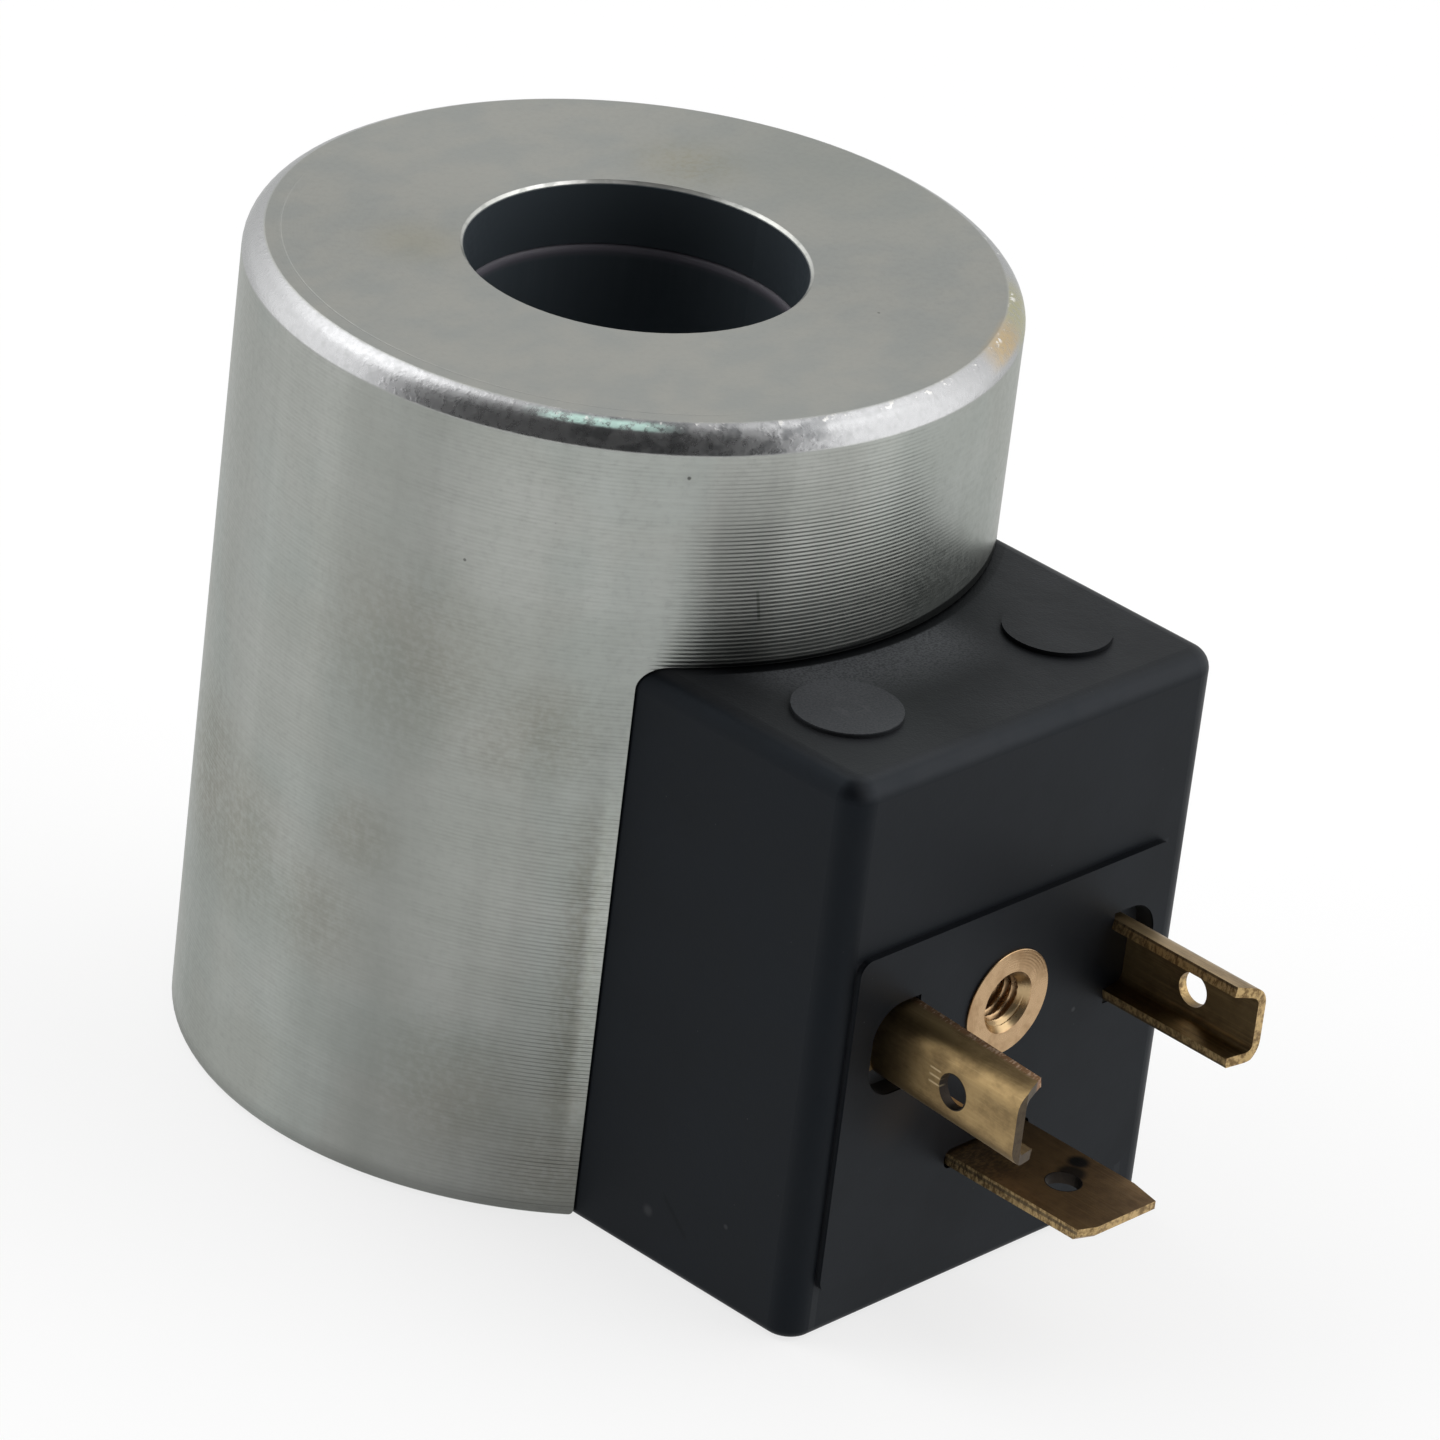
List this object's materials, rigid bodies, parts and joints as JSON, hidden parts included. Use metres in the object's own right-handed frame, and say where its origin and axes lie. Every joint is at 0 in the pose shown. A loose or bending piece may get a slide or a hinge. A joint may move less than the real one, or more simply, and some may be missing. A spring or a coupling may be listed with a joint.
{
  "type": "solenoid coil",
  "caption": "Solenoid coil for a cartridge valve: round zinc-plated steel can with a through bore, and a black moulded plug connector block with brass blades on its side.",
  "frame": {"origin": "on the bore axis, at the plane of the can's lower rim, where the coil meets the valve's shoulder", "axes": "+Z along the bore axis from the open end to the pole plate, -Y out of the connector face, +X to the right seen from the connector side"},
  "size_m": [0.0406, 0.0611, 0.0458],
  "materials": {
    "zinc_plated_steel": "zinc plated, turned, fine lines round the side",
    "plain_steel": "zinc plated, pressed plate",
    "black_moulding": "semi-gloss with a fine moulded grain",
    "bobbin_plastic": "plain moulded",
    "winding_tape": "polyester tape",
    "copper_wire": "enamelled copper wire",
    "lead_wire": "tinned copper wire",
    "solder": "bright solder",
    "brass": "aged, drawn and sheared"
  },
  "bodies": {
    "root": {"bobbin": "bobbin_plastic", "copper_winding": "copper_wire", "earth_terminal": "brass", "flux_plate": "plain_steel", "lead_wire_left": "lead_wire", "lead_wire_right": "lead_wire", "moulded_body": "black_moulding", "power_terminal_left": "brass", "power_terminal_right": "brass", "solder_joint_left": "solder", "solder_joint_right": "solder", "steel_can": "zinc_plated_steel", "threaded_bush": "brass", "winding_tape": "winding_tape"}
  },
  "joints": []
}
